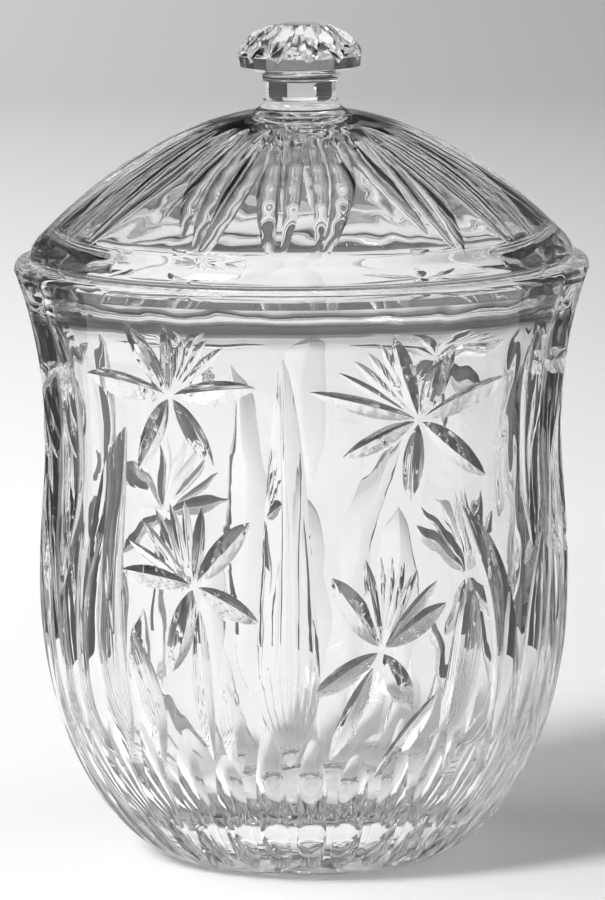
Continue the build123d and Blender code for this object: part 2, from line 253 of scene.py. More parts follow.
@dataclass(frozen=True)
class WheelCut:
    """Lens-shaped cut of a mitre wheel: pointed at both ends, deepest in its middle."""

    start: Vector
    end: Vector
    middle: Vector
    normal: Vector
    width: float
    depth: float
    facet: Facet = Facet()
    overrun: float = 1.6
    least_bow: float = 0.3
    steps: int = 20

    def solid(self) -> bmesh.types.BMesh:
        """Gives the wheel's path through the glass.

        The wheel's rim passes through both ends and is deepest between them.

        Returns:
            The path as a closed shape.
        """
        along = self.end - self.start
        length = along.length
        along = along.normalized()
        chord_middle = (self.start + self.end) / 2.0
        bulge = (self.middle - chord_middle).dot(self.normal)
        bow = max(self.depth - bulge, self.least_bow)
        depth = bow + bulge
        wheel = (length ** 2 / 4.0 + bow ** 2) / (2.0 * bow)
        across = along.cross(self.normal).normalized()
        upright = across.cross(along).normalized()
        centre = chord_middle + upright * (wheel - bow)
        height = depth + self.overrun
        half_width = self.width / 2.0 * height / depth
        keel = centre - upright * wheel
        turn = math.asin(min(1.0, length / 2.0 / wheel)) + self.overrun / wheel
        shape = bmesh.new()
        shape.faces.new([shape.verts.new(keel + across * x + upright * y)
                         for x, y in self.facet.section(half_width, height, depth)])
        bmesh.ops.rotate(shape, cent=centre, matrix=Matrix.Rotation(-turn, 3, across),
                         verts=shape.verts[:])
        bmesh.ops.spin(shape, geom=shape.verts[:] + shape.edges[:] + shape.faces[:], cent=centre,
                       axis=across, angle=2.0 * turn, steps=self.steps)
        return shape


@dataclass(frozen=True)
class LongCut:
    """Cut that runs through stations of (azimuth, place, depth, spread) on a turned surface.

    A sharp cut opens by its spread for each millimetre of depth, and the lean of one that
    runs downwards moves its opening to growing azimuths. A hollow one has a section of its
    spread's radius, and its floor may run in low waves, as the wheel leaves it. A depth below
    zero lifts the cut clear of the glass.
    """

    surface: Surface
    stations: tuple[tuple[float, float, float, float], ...]
    section: Section = Section.SHARP
    lean: float = 0.0
    facet: Facet = Facet()
    overrun: float = 1.6
    least_depth: float = 0.4
    hollow_margin: float = 0.1
    least_hollow: float = 0.3
    finer: int = 6
    arc_steps: int = 16
    wave: float = 0.0
    wave_length: float = 8.0
    wave_depth: float = 0.6

    def course(self) -> list[tuple[float, ...]]:
        """Gives the stations with smooth ones laid between them.

        Returns:
            The stations in their order along the cut.
        """
        rows = self.stations
        drawn = []
        for k in range(len(rows) - 1):
            before, here = rows[max(k - 1, 0)], rows[k]
            there, after = rows[k + 1], rows[min(k + 2, len(rows) - 1)]
            for step in range(self.finer):
                share = step / self.finer
                drawn.append(tuple(smooth_between(*values, share)
                                   for values in zip(before, here, there, after)))
        return drawn + [rows[-1]]

    def outline(self, depth: float, spread: float) -> list[tuple[float, float]]:
        """Gives the section's points as (across, above the glass).

        Args:
            depth: Depth of the cut under the surface.
            spread: Opening for each millimetre of depth, or the section's radius.

        Returns:
            The points in order round the section.
        """
        reach = depth + self.overrun
        if self.section is Section.SHARP:
            section = self.facet.section(spread * reach, reach, max(depth, self.least_depth))
            return [(x - self.lean * y, y - depth) for x, y in section]
        half = math.acos(1.0 - max(depth + self.hollow_margin, self.least_hollow) / spread)
        opening = math.acos(1.0 - reach / spread)
        angles = [half * (2.0 * k / self.arc_steps - 1.0) for k in range(self.arc_steps + 1)]
        return [(spread * math.sin(angle), spread * (1.0 - math.cos(angle)) - depth)
                for angle in [-opening] + angles + [opening]]

    def solid(self) -> bmesh.types.BMesh:
        """Gives the cut's shape.

        Returns:
            The cut as a closed shape.
        """
        rows = self.course()
        places = [self.surface.place(row[0], row[1]) for row in rows]
        shape = bmesh.new()
        loops = []
        run = 0.0
        for k, (_, _, depth, spread) in enumerate(rows):
            point, normal = places[k]
            before = places[max(k - 1, 0)][0]
            along = places[min(k + 1, len(places) - 1)][0] - before
            across = along.normalized().cross(normal).normalized()
            run += (point - before).length
            fade = min(1.0, max(0.0, depth / self.wave_depth))
            swell = self.wave * fade * math.sin(2.0 * math.pi * run / self.wave_length)
            ring = [shape.verts.new(point + across * x + normal * y)
                    for x, y in self.outline(depth + swell, spread)]
            loops.append([shape.edges.new((ring[i - 1], ring[i])) for i in range(len(ring))])
        for lower, upper in zip(loops, loops[1:]):
            bmesh.ops.bridge_loops(shape, edges=lower + upper)
        for loop in (loops[0], loops[-1]):
            bmesh.ops.contextual_create(shape, geom=loop)
        return shape


@dataclass(frozen=True)
class Flower:
    """Cut flower: petals of (azimuth, height, width, depth) and a fan of fine cuts."""

    centre: tuple[float, float]
    petals: tuple[tuple[float, float, float, float], ...]
    fan: tuple[tuple[float, float], ...]
    petal_start: float = 1.3
    fan_start: float = 5.0
    fan_width: float = 2.1
    fan_depth: float = 0.5
    fan_facet: Facet = Facet(ripple=0.0, steps=4)
    fan_steps: int = 12

    def cuts(self, wall: JarWall) -> list[WheelCut]:
        """Gives the flower's cuts in a wall.

        Args:
            wall: The wall that the flower is cut into.

        Returns:
            One wheel cut for each petal and each line of the fan.
        """
        cuts = [wheel_line(wall, self.centre, tuple(tip), self.petal_start, width, depth)
                for *tip, width, depth in self.petals]
        for tip in self.fan:
            line = wheel_line(wall, self.centre, tip, self.fan_start, self.fan_width, self.fan_depth)
            cuts.append(replace(line, facet=self.fan_facet, steps=self.fan_steps))
        return cuts


def wheel_line(wall: JarWall, start: tuple[float, float], end: tuple[float, float],
               gap: float, width: float, depth: float) -> WheelCut:
    """Gives the wheel cut between two (azimuth, height) places on a wall.

    Args:
        wall: The wall that is cut.
        start: Where the line starts.
        end: Where it ends.
        gap: Plain glass left at the start.
        width: Width of the cut in its middle.
        depth: Depth of the cut in its middle.

    Returns:
        The cut.
    """
    (a0, z0), (a1, z1) = start, end
    share = gap / math.hypot(math.radians(a1 - a0) * wall.belly_radius, z1 - z0)
    a0, z0 = a0 + (a1 - a0) * share, z0 + (z1 - z0) * share
    middle, normal = wall.place((a0 + a1) / 2.0, (z0 + z1) / 2.0)
    return WheelCut(wall.place(a0, z0)[0], wall.place(a1, z1)[0], middle, normal, width, depth)


# ---- glass bodies ----
@dataclass
class GlassBody:
    """A piece of glass that is turned from a profile and then cut."""

    name: str
    body: str
    slot: str
    turns: int = 240
    crease: float = 21.0
    blank_weld: float = 0.0001
    cut_weld: float = 0.002
    cutters: list[bpy.types.Object] = field(default_factory=list)

    def turned(self, profile: list[tuple[float, float]]) -> bpy.types.Object:
        """Spins a profile of (radius, height) points round the axis.

        Args:
            profile: The points, from the axis to the axis.

        Returns:
            The blank.
        """
        shape = bmesh.new()
        points = [shape.verts.new((r, 0.0, z)) for r, z in profile]
        line = [shape.edges.new(pair) for pair in zip(points, points[1:])]
        bmesh.ops.spin(shape, geom=points + line, cent=(0.0, 0.0, 0.0), axis=(0.0, 0.0, 1.0),
                       angle=2.0 * math.pi, steps=self.turns, use_merge=True)
        bmesh.ops.remove_doubles(shape, verts=shape.verts[:], dist=self.blank_weld)
        bmesh.ops.recalc_face_normals(shape, faces=shape.faces[:])
        blank = into_scene(self.name, shape)
        blank.data.materials.append(None)
        blank.data.materials.append(None)
        return blank

    def add_cutter(self, shape: bmesh.types.BMesh, pitch: float) -> None:
        """Keeps a cutter and its copies round the axis.

        Its faces take the second material slot, so that the cuts' edges can be found later.

        Args:
            shape: The closed shape, which is freed.
            pitch: Degrees from one copy to the next.
        """
        bmesh.ops.recalc_face_normals(shape, faces=shape.faces[:])
        for face in shape.faces:
            face.material_index = 1
        mesh = bpy.data.meshes.new(f"{self.name}_cutter")
        shape.to_mesh(mesh)
        shape.free()
        mesh.materials.append(None)
        mesh.materials.append(None)
        for k in range(round(360.0 / pitch)):
            cutter = bpy.data.objects.new(mesh.name, mesh)
            cutter.rotation_euler.z = math.radians(pitch * k)
            self.cutters.append(cutter)

    def carved(self, blank: bpy.types.Object) -> bpy.types.Object:
        """Cuts the blank with all the cutters, polishes it and sets it in metres.

        Args:
            blank: The turned blank.

        Returns:
            The same object with its finished mesh.
        """
        rack = bpy.data.collections.new(f"{self.name}_cutters")
        bpy.context.scene.collection.children.link(rack)
        for cutter in self.cutters:
            rack.objects.link(cutter)
        cut = blank.modifiers.new("cut", "BOOLEAN")
        cut.operation = "DIFFERENCE"
        cut.operand_type = "COLLECTION"
        cut.collection = rack
        cut.solver = "MANIFOLD"
        depsgraph = bpy.context.evaluated_depsgraph_get()
        depsgraph.update()
        mesh = bpy.data.meshes.new_from_object(blank.evaluated_get(depsgraph))
        blank.modifiers.remove(cut)
        blank.data = mesh
        meshes = {cutter.data for cutter in self.cutters}
        for cutter in self.cutters:
            bpy.data.objects.remove(cutter)
        for used in meshes:
            bpy.data.meshes.remove(used)
        bpy.data.collections.remove(rack)
        self.cutters.clear()
        shape = bmesh.new()
        shape.from_mesh(mesh)
        bmesh.ops.remove_doubles(shape, verts=shape.verts[:], dist=self.cut_weld)
        bmesh.ops.triangulate(shape, faces=shape.faces[:])
        bmesh.ops.scale(shape, vec=(MILLIMETRE,) * 3, verts=shape.verts[:])
        crease = math.radians(self.crease)
        for face in shape.faces:
            face.smooth = True
        for edge in shape.edges:
            sides = {face.material_index for face in edge.link_faces}
            edge.smooth = len(sides) == 1 and edge.calc_face_angle(0.0) < crease
        for face in shape.faces:
            face.material_index = 0
        shape.to_mesh(mesh)
        shape.free()
        return blank

    def fit(self, piece: bpy.types.Object, finish: "Crystal") -> None:
        """Dresses the piece and sets it in the place of its solid.

        Args:
            piece: The finished piece.
            finish: The glass that it is made of.
        """
        piece.data.materials.clear()
        piece.data.materials.append(finish.material())
        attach(piece, self.body)
        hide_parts(self.body)
        LOG.info("%s: %d faces", self.name, len(piece.data.polygons))


def corner(start: tuple[float, float], tip: tuple[float, float], end: tuple[float, float],
           steps: int = 6) -> list[tuple[float, float]]:
    """Gives points of a quarter round from start to end that rounds off the corner at tip.

    Args:
        start: First point.
        tip: The corner that is rounded off.
        end: Last point.
        steps: Number of segments.

    Returns:
        The points, both ends included.
    """
    centre = (start[0] + end[0] - tip[0], start[1] + end[1] - tip[1])
    points = []
    for k in range(steps + 1):
        angle = math.pi / 2.0 * k / steps
        points.append((centre[0] + (start[0] - centre[0]) * math.cos(angle)
                       + (end[0] - centre[0]) * math.sin(angle),
                       centre[1] + (start[1] - centre[1]) * math.cos(angle)
                       + (end[1] - centre[1]) * math.sin(angle)))
    return points


@dataclass
class CutJar(GlassBody):
    """The jar: foot, belly, waist, flared rim and the cuts in its wall."""

    name: str = "cut_jar"
    body: str = "jar"
    slot: str = "crystal_jar"
    wall: JarWall = field(default_factory=JarWall)
    thickness: float = 5.6
    floor: float = 11.0
    floor_flat: float = 12.0
    foot_hollow: float = 1.2
    foot_ring: float = 8.0
    mouth_radius: float = 70.0
    mouth_depth: float = 7.0
    mouth_edge: float = 1.0
    rim_edge: float = 2.4
    panel_pair: float = 120.0
    rows: int = 40
    row_crowding: float = 1.7
    inner_rows: int = 26
    inner_crowding: float = 1.9
    bowl_power: float = 3.0
    bowl_root: float = 2.2
    flowers: tuple[Flower, ...] = (
        Flower((-29.2, 136.8),
               ((-38.5, 156.0, 5.6, 1.8), (-28.7, 156.4, 3.6, 1.5), (-9.8, 139.6, 5.4, 2.2),
                (-19.5, 118.3, 4.8, 1.7), (-38.3, 116.0, 5.6, 1.9), (-52.5, 140.3, 6.2, 2.4)),
               ((-25.0, 152.0), (-22.3, 153.0), (-19.5, 153.0), (-16.3, 150.5))),
        Flower((-23.8, 86.0),
               ((-11.5, 103.4, 5.8, 2.0), (-22.2, 107.0, 3.2, 1.4), (-42.3, 88.3, 5.2, 2.3),
                (-29.4, 61.8, 6.6, 2.1), (-9.5, 76.4, 5.2, 1.9)),
               ((-26.4, 108.5), (-30.0, 107.5), (-33.6, 105.6), (-37.2, 102.4), (-40.6, 96.5))),
        Flower((25.5, 130.0),
               ((18.7, 153.0, 5.2, 1.8), (32.7, 150.0, 6.6, 2.1), (49.2, 139.2, 5.2, 2.5),
                (43.5, 112.8, 5.6, 2.3), (23.3, 108.0, 5.4, 1.9), (8.4, 120.6, 4.6, 2.0),
                (1.4, 138.6, 4.2, 2.5)),
               ((7.4, 143.8), (10.4, 147.0), (13.2, 149.2), (16.0, 151.0))),
        Flower((16.5, 68.6),
               ((5.8, 88.6, 6.4, 2.1), (13.0, 93.5, 3.2, 1.4), (29.3, 86.4, 3.4, 1.7),
                (31.5, 80.0, 5.2, 1.9), (23.8, 51.2, 6.2, 2.1), (1.6, 56.2, 5.2, 1.9)),
               ((16.4, 94.0), (19.0, 93.6), (21.7, 92.2), (24.6, 90.2))),
    )
    stems: tuple[tuple[tuple[float, float], tuple[float, float], float, float], ...] = (
        ((14.6, 64.0), (5.4, 38.0), 4.6, 1.9),
        ((30.0, 55.6), (16.2, 32.5), 5.0, 2.2),
    )
    blades: tuple[tuple[float, tuple[tuple[float, float, float, float], ...]], ...] = (
        (0.0, ((-22.6, 82.0, -0.3, 1.6), (-22.4, 70.0, 1.0, 1.8), (-22.0, 50.0, 1.1, 1.8),
               (-21.0, 34.0, -0.3, 1.8))),
        (0.0, ((-4.2, 152.0, -0.3, 3.0), (-3.9, 138.0, 0.6, 3.0), (-3.6, 112.0, 1.5, 3.0),
               (-3.5, 84.0, 2.1, 3.1), (-3.5, 56.0, 2.2, 3.4), (-3.5, 34.0, -0.3, 3.4))),
        (0.0, ((57.0, 154.0, -0.3, 3.0), (58.4, 142.0, 1.2, 3.0), (59.4, 126.0, 1.6, 3.0),
               (59.6, 106.0, 1.6, 2.8), (58.6, 88.0, -0.3, 2.8))),
        (-2.0, ((-41.0, 129.5, -0.3, 2.6), (-43.6, 113.0, 1.5, 2.8), (-45.8, 86.0, 2.3, 3.4),
                (-46.6, 64.0, 2.5, 3.7), (-46.8, 44.0, 2.2, 3.8), (-47.0, 28.0, -0.3, 3.0))),
        (0.7, ((35.0, 108.0, -0.3, 2.0), (40.4, 95.0, 1.3, 2.3), (45.4, 79.0, 1.8, 2.4),
               (48.2, 58.0, 2.0, 2.5), (48.8, 42.0, 1.7, 2.5), (48.8, 28.0, -0.3, 2.2))),
        (0.5, ((37.4, 87.5, -0.3, 2.2), (36.8, 76.0, 1.6, 2.2), (35.6, 60.0, 2.2, 2.3),
               (34.8, 46.0, 2.0, 2.3), (34.6, 29.0, -0.3, 2.2))),
        (0.0, ((-40.0, 74.0, -0.3, 2.4), (-37.4, 62.0, 1.4, 2.4), (-35.8, 48.0, 1.7, 2.4),
               (-35.4, 30.0, -0.3, 2.4))),
        (0.0, ((-17.2, 62.0, -0.3, 2.2), (-16.2, 51.0, 1.2, 2.2), (-15.8, 42.0, 1.2, 2.2),
               (-15.6, 30.0, -0.3, 2.2))),
        (0.0, ((64.6, 100.0, -0.3, 2.4), (60.4, 78.0, 1.5, 2.6), (58.6, 58.0, 1.7, 2.6),
               (58.6, 42.0, 1.4, 2.6), (58.8, 30.0, -0.3, 2.4))),
    )
    flute_pitch: float = 10.0
    flute_turn: float = 1.6
    flute_tops: tuple[float, ...] = (47.0, 41.0, 53.0)
    flute_course: tuple[tuple[float, float], ...] = ((32.0, 1.2), (17.0, 1.3), (8.0, 1.0))
    flute_foot: float = 2.6
    flute_radius: float = 7.0
    flute_end_radius: float = 5.0
    flute_end_lift: float = -0.3
    flute_steps: int = 4

    def outside(self) -> list[tuple[float, float]]:
        """Gives the outer half of the profile, whose rows crowd towards the foot.

        Returns:
            The points from the axis under the foot up to the rim.
        """
        wall = self.wall
        hollow = wall.foot_radius - self.foot_ring
        points = [(0.0, self.foot_hollow), (hollow, self.foot_hollow),
                  (hollow + self.foot_hollow, 0.0)]
        for k in range(self.rows + 1):
            height = wall.belly_height * (k / self.rows) ** self.row_crowding
            points.append((wall.radius(height), height))
        for k in range(1, self.rows + 1):
            height = wall.belly_height + (wall.shoulder_height - wall.belly_height) * k / self.rows
            points.append((wall.radius(height), height))
        ledge = wall.rim_radius - self.rim_edge / 2.0
        return points[:-1] + corner((wall.rim_radius, wall.shoulder_height),
                                    (wall.rim_radius, wall.rim_height), (ledge, wall.rim_height))

    def inside(self) -> list[tuple[float, float]]:
        """Gives the inner half of the profile, whose rows crowd towards the floor.

        Returns:
            The points from the rim down to the axis on the floor.
        """
        wall = self.wall
        edge = wall.rim_height - self.mouth_edge
        throat = wall.rim_height - self.mouth_depth
        points = corner((self.mouth_radius + self.mouth_edge, wall.rim_height),
                        (self.mouth_radius, wall.rim_height), (self.mouth_radius, edge))
        for k in range(self.inner_rows):
            height = throat + (wall.belly_height - throat) * k / self.inner_rows
            points.append((min(self.mouth_radius, wall.radius(height) - self.thickness), height))
        belly = wall.belly_radius - self.thickness
        for k in range(self.inner_rows, 0, -1):
            share = (k / self.inner_rows) ** self.inner_crowding
            swell = (1.0 - (1.0 - share) ** self.bowl_power) ** (1.0 / self.bowl_root)
            points.append((self.floor_flat + (belly - self.floor_flat) * swell,
                           self.floor + (wall.belly_height - self.floor) * share))
        return points + [(self.floor_flat, self.floor), (0.0, self.floor)]

    def cut_pattern(self) -> None:
        """Sets out every cut of the wall, repeated for each pair of panels."""
        for flower in self.flowers:
            for cut in flower.cuts(self.wall):
                self.add_cutter(cut.solid(), self.panel_pair)
        for start, end, width, depth in self.stems:
            cut = wheel_line(self.wall, start, end, 0.0, width, depth)
            self.add_cutter(cut.solid(), self.panel_pair)
        for lean, stations in self.blades:
            self.add_cutter(LongCut(self.wall, stations, lean=lean).solid(), self.panel_pair)
        for k in range(round(self.panel_pair / self.flute_pitch)):
            turn = self.flute_turn + k * self.flute_pitch
            top = self.flute_tops[k % len(self.flute_tops)]
            stations = [(turn, top, self.flute_end_lift, self.flute_end_radius)]
            stations += [(turn, z, depth, self.flute_radius) for z, depth in self.flute_course]
            stations += [(turn, self.flute_foot, self.flute_end_lift, self.flute_end_radius)]
            cut = LongCut(self.wall, tuple(stations), Section.HOLLOW, finer=self.flute_steps)
            self.add_cutter(cut.solid(), self.panel_pair)

    def build(self, finish: "Crystal") -> bpy.types.Object:
        """Makes the jar.

        Args:
            finish: The glass that it is made of.

        Returns:
            The jar.
        """
        blank = self.turned(self.outside() + self.inside())
        self.cut_pattern()
        piece = self.carved(blank)
        self.fit(piece, finish)
        return piece


@dataclass
class CutLid(GlassBody):
    """The lid: locating ring, edge band, dome with hollow leaves, flat-sided neck and knob."""

    name: str = "cut_lid"
    body: str = "lid"
    slot: str = "crystal_lid"
    dome: LidDome = field(default_factory=LidDome)
    seat: float = 165.6
    seat_gap: float = 0.04
    edge_radius: float = 74.7
    edge_upright: float = 1.8
    edge_round: float = 1.2
    edge_bow: float = 0.5
    edge_steps: int = 6
    thickness: float = 5.0
    ring_radius: float = 69.0
    ring_width: float = 3.0
    ring_depth: float = 4.0
    ring_taper: float = 0.6
    ring_shoulder: float = 6.0
    ring_rounding: float = 1.6
    ring_steps: int = 8
    neck_radius: float = 10.4
    neck_flat_depth: float = 0.8
    neck_sides: int = 8
    neck_turn: float = 2.5
    neck_foot_rise: float = 2.0
    neck_flare: float = 5.7
    neck_flare_steps: int = 10
    neck_block: float = 5.0
    throat_drop: float = 4.0
    throat_land: float = 1.0
    throat_bow: tuple[float, float] = (0.15, 0.3)
    throat_steps: int = 8
    knob_radius: float = 17.0
    knob_underside: float = 11.2
    knob_rise: float = 11.4
    knob_lip: float = 2.4
    knob_lip_taper: float = 0.4
    knob_rim_width: float = 1.2
    knob_rim_drop: float = 0.12
    knob_shelf_width: float = 3.2
    knob_shelf_drop: float = 1.1
    knob_crown: float = 4.0
    knob_crown_steps: int = 24
    knob_flutes: int = 12
    knob_turn: float = 8.0
    knob_flute_depth: float = 1.5
    knob_flute_start: float = 1.0
    knob_flute_middle: float = 0.78
    knob_flute_overrun: float = 0.6
    knob_flute_lean: float = 0.75
    knob_flute_share: float = 0.92
    leaf_round: float = 4.4
    leaf_lift: float = -0.12
    leaf_wave: float = 0.05
    leaf_steps: int = 16
    leaf_arc_steps: int = 14
    leaf_pair: float = 60.0
    rows: int = 44
    leaves: tuple[tuple[tuple[float, float, float], ...], ...] = (
        ((-17.0, 24.0, 0.0), (-12.0, 35.0, 6.2), (-10.4, 46.0, 6.9), (-8.9, 58.0, 5.9),
         (-6.6, 71.5, 0.0)),
        ((-3.4, 25.0, 0.0), (-2.4, 35.0, 4.2), (-2.3, 46.0, 5.0), (-2.8, 58.0, 4.2),
         (-4.4, 72.0, 0.0)),
        ((4.6, 25.0, 0.0), (6.0, 35.0, 4.0), (6.2, 46.0, 4.6), (5.2, 58.0, 3.8),
         (2.8, 72.0, 0.0)),
        ((17.0, 24.0, 0.0), (14.2, 35.0, 5.8), (14.0, 46.0, 7.0), (10.2, 58.0, 5.4),
         (3.9, 72.0, 0.0)),
        ((25.6, 24.0, 0.0), (25.2, 35.0, 6.2), (25.6, 45.0, 7.2), (28.0, 56.0, 5.2),
         (31.6, 66.5, 0.0)),
        ((34.0, 26.0, 0.0), (33.2, 36.0, 3.0), (32.9, 46.0, 4.2), (33.9, 58.0, 4.6),
         (36.2, 71.5, 0.0)),
        ((42.6, 24.0, 0.0), (41.4, 35.0, 6.8), (41.4, 46.0, 7.8), (39.8, 58.0, 6.4),
         (37.2, 72.5, 0.0)),
    )

    @property
    def ring_height(self) -> float:
        """Height of the knob's widest ring."""
        return self.dome.top + self.knob_underside

    @property
    def throat(self) -> float:
        """Height where the knob's underside runs into the neck."""
        return self.ring_height - self.throat_drop

    @property
    def neck_foot(self) -> float:
        """Height where the neck starts to spread onto the dome."""
        return self.dome.top + self.neck_foot_rise

    def knob_height(self, radius: float) -> float:
        """Gives the height of the knob's upper surface.

        Args:
            radius: Distance from the axis.

        Returns:
            The height over the table.
        """
        edge = self.ring_height + self.knob_lip
        share = (radius - self.knob_crown) / (self.knob_radius - self.knob_crown)
        return edge + (self.knob_rise - self.knob_lip) * math.sqrt(max(0.0, 1.0 - share ** 2))

    def outside(self) -> list[tuple[float, float]]:
        """Gives the outer half of the profile.

        Returns:
            The points from the knob's crown down to the seat.
        """
        crown = self.ring_height + self.knob_rise
        edge = self.ring_height + self.knob_lip
        points = [(0.0, crown)]
        points += corner((self.knob_crown, crown), (self.knob_radius, crown),
                         (self.knob_radius, edge), self.knob_crown_steps)
        tuck = self.knob_radius - self.knob_lip_taper
        shelf = (tuck - self.knob_shelf_width, self.ring_height - self.knob_shelf_drop)
        points += [(tuck, self.ring_height),
                   (tuck - self.knob_rim_width, self.ring_height - self.knob_rim_drop)]
        points += corner(shelf, (self.neck_radius + self.throat_bow[0],
                                 shelf[1] - self.throat_bow[1]),
                         (self.neck_radius, self.throat), self.throat_steps)
        points += [(self.neck_radius, self.throat - self.throat_land)]
        flare = self.neck_radius + self.neck_flare
        points += corner((self.neck_radius, self.neck_foot),
                         (self.neck_radius, self.dome.height(flare)),
                         (flare, self.dome.height(flare)), self.neck_flare_steps)
        for k in range(1, self.rows + 1):
            radius = flare + (self.dome.radius - flare) * k / self.rows
            points.append((radius, self.dome.height(radius)))
        band = self.seat + self.edge_upright
        run = (self.edge_radius - self.dome.radius, band - self.dome.foot)
        length = math.hypot(*run)
        steps = self.edge_steps
        for k in range(1, steps):
            bow = 4.0 * self.edge_bow * (k / steps) * (1.0 - k / steps)
            points.append((self.dome.radius + run[0] * k / steps - run[1] / length * bow,
                           self.dome.foot + run[1] * k / steps + run[0] / length * bow))
        points.append((self.edge_radius, band))
        return points + corner((self.edge_radius, self.seat + self.edge_round),
                               (self.edge_radius, self.seat),
                               (self.edge_radius - self.edge_round, self.seat))

    def inside(self) -> list[tuple[float, float]]:
        """Gives the inner half of the profile.

        Returns:
            The points from the seat over the ring to the axis.
        """
        ring_inside = self.ring_radius - self.ring_width
        foot = self.seat - self.ring_depth
        shoulder = self.dome.height(ring_inside) - self.ring_shoulder
        hollow = ring_inside - self.ring_rounding
        points = [(self.ring_radius, self.seat), (self.ring_radius - self.ring_taper, foot),
                  (ring_inside, foot)]
        points += corner((ring_inside, shoulder),
                         (ring_inside, self.dome.height(ring_inside) - self.thickness),
                         (hollow, self.dome.height(hollow) - self.thickness), self.ring_steps)
        for k in range(1, self.rows + 1):
            radius = hollow * (1.0 - k / self.rows)
            points.append((radius, self.dome.height(radius) - self.thickness))
        return points

    def knob_cut(self) -> WheelCut:
        """Gives one flute of the knob, which runs out over its edge.

        Returns:
            The wheel cut.
        """
        start_radius = self.knob_crown + self.knob_flute_start
        start = round_the_axis(self.knob_turn, start_radius, self.knob_height(start_radius))
        end = round_the_axis(self.knob_turn, self.knob_radius + self.knob_flute_overrun,
                             self.ring_height + self.knob_lip / 2.0)
        middle_radius = self.knob_radius * self.knob_flute_middle
        middle = round_the_axis(self.knob_turn, middle_radius, self.knob_height(middle_radius))
        normal = round_the_axis(self.knob_turn, self.knob_flute_lean, 1.0).normalized()
        width = 2.0 * math.pi * middle_radius / self.knob_flutes * self.knob_flute_share
        return WheelCut(start, end, middle, normal, width, self.knob_flute_depth)

    def neck_cut(self) -> bmesh.types.BMesh:
        """Gives the ring-shaped block that leaves the neck its flat sides.

        Returns:
            The block as a closed shape.
        """
        shape = bmesh.new()
        radius = (self.neck_radius - self.neck_flat_depth) / math.cos(math.pi / self.neck_sides)
        height = self.throat - self.neck_foot
        turn = Matrix.Rotation(math.radians(self.neck_turn + 180.0 / self.neck_sides), 4, "Z")
        place = Matrix.Translation((0.0, 0.0, self.neck_foot))
        inner = bmesh.ops.create_circle(shape, segments=self.neck_sides, radius=radius,
                                        matrix=place @ turn)["verts"]
        outer = bmesh.ops.create_circle(shape, segments=self.neck_sides,
                                        radius=radius + self.neck_block,
                                        matrix=place @ turn)["verts"]
        edges = list({edge for vert in inner + outer for edge in vert.link_edges})
        bmesh.ops.bridge_loops(shape, edges=edges)
        grown = bmesh.ops.extrude_face_region(shape, geom=shape.faces[:])["geom"]
        lifted = [g for g in grown if isinstance(g, bmesh.types.BMVert)]
        bmesh.ops.translate(shape, vec=(0.0, 0.0, height), verts=lifted)
        return shape

    def cut_pattern(self) -> None:
        """Sets out the leaves of the dome, the flutes of the knob and the flats of the neck."""
        for stations in self.leaves:
            drawn = []
            for azimuth, radius, width in stations:
                depth = self.leaf_round - math.sqrt(self.leaf_round ** 2 - width ** 2 / 4.0)
                drawn.append((azimuth, radius, depth or self.leaf_lift, self.leaf_round))
            cut = LongCut(self.dome, tuple(drawn), Section.HOLLOW, finer=self.leaf_steps,
                          arc_steps=self.leaf_arc_steps, wave=self.leaf_wave)
            self.add_cutter(cut.solid(), self.leaf_pair)
        self.add_cutter(self.knob_cut().solid(), 360.0 / self.knob_flutes)
        self.add_cutter(self.neck_cut(), 360.0)

    def build(self, finish: "Crystal") -> bpy.types.Object:
        """Makes the lid.

        Args:
            finish: The glass that it is made of.

        Returns:
            The lid.
        """
        blank = self.turned(self.outside() + self.inside())
        self.cut_pattern()
        piece = self.carved(blank)
        piece.data.transform(Matrix.Translation((0.0, 0.0, self.seat_gap * MILLIMETRE)))
        self.fit(piece, finish)
        return piece


# ---- finishes: clear glass, and the table and cards with painted light and shade ----
@dataclass(frozen=True)
class Crystal:
    """Clear pressed crystal with a faint fire-polished wave."""

    name: str
    tint: tuple[float, float, float] = (0.985, 0.99, 0.99)
    index: float = 1.54
    roughness: float = 0.0
    wave_size: float = 0.013
    wave_stretch: float = 2.2
    wave_height: float = 0.0004

    def material(self) -> bpy.types.Material:
        """Makes the glass.

        Returns:
            The material.
        """
        material = bpy.data.materials.new(self.name)
        material.use_nodes = True
        nodes, links = material.node_tree.nodes, material.node_tree.links
        shader = nodes["Principled BSDF"]
        shader.inputs["Base Color"].default_value = (*self.tint, 1.0)
        shader.inputs["Roughness"].default_value = self.roughness
        shader.inputs["IOR"].default_value = self.index
        shader.inputs["Transmission Weight"].default_value = 1.0
        wave = nodes.new("ShaderNodeTexNoise")
        wave.inputs["Scale"].default_value = 1.0 / self.wave_size
        wave.inputs["Detail"].default_value = 1.0
        stretch = nodes.new("ShaderNodeMapping")
        stretch.inputs["Scale"].default_value = (1.0, 1.0, 1.0 / self.wave_stretch)
        links.new(nodes.new("ShaderNodeTexCoord").outputs["Object"], stretch.inputs["Vector"])
        links.new(stretch.outputs["Vector"], wave.inputs["Vector"])
        bump = nodes.new("ShaderNodeBump")
        bump.inputs["Distance"].default_value = self.wave_height
        links.new(wave.outputs["Fac"], bump.inputs["Height"])
        links.new(bump.outputs["Normal"], shader.inputs["Normal"])
        return material


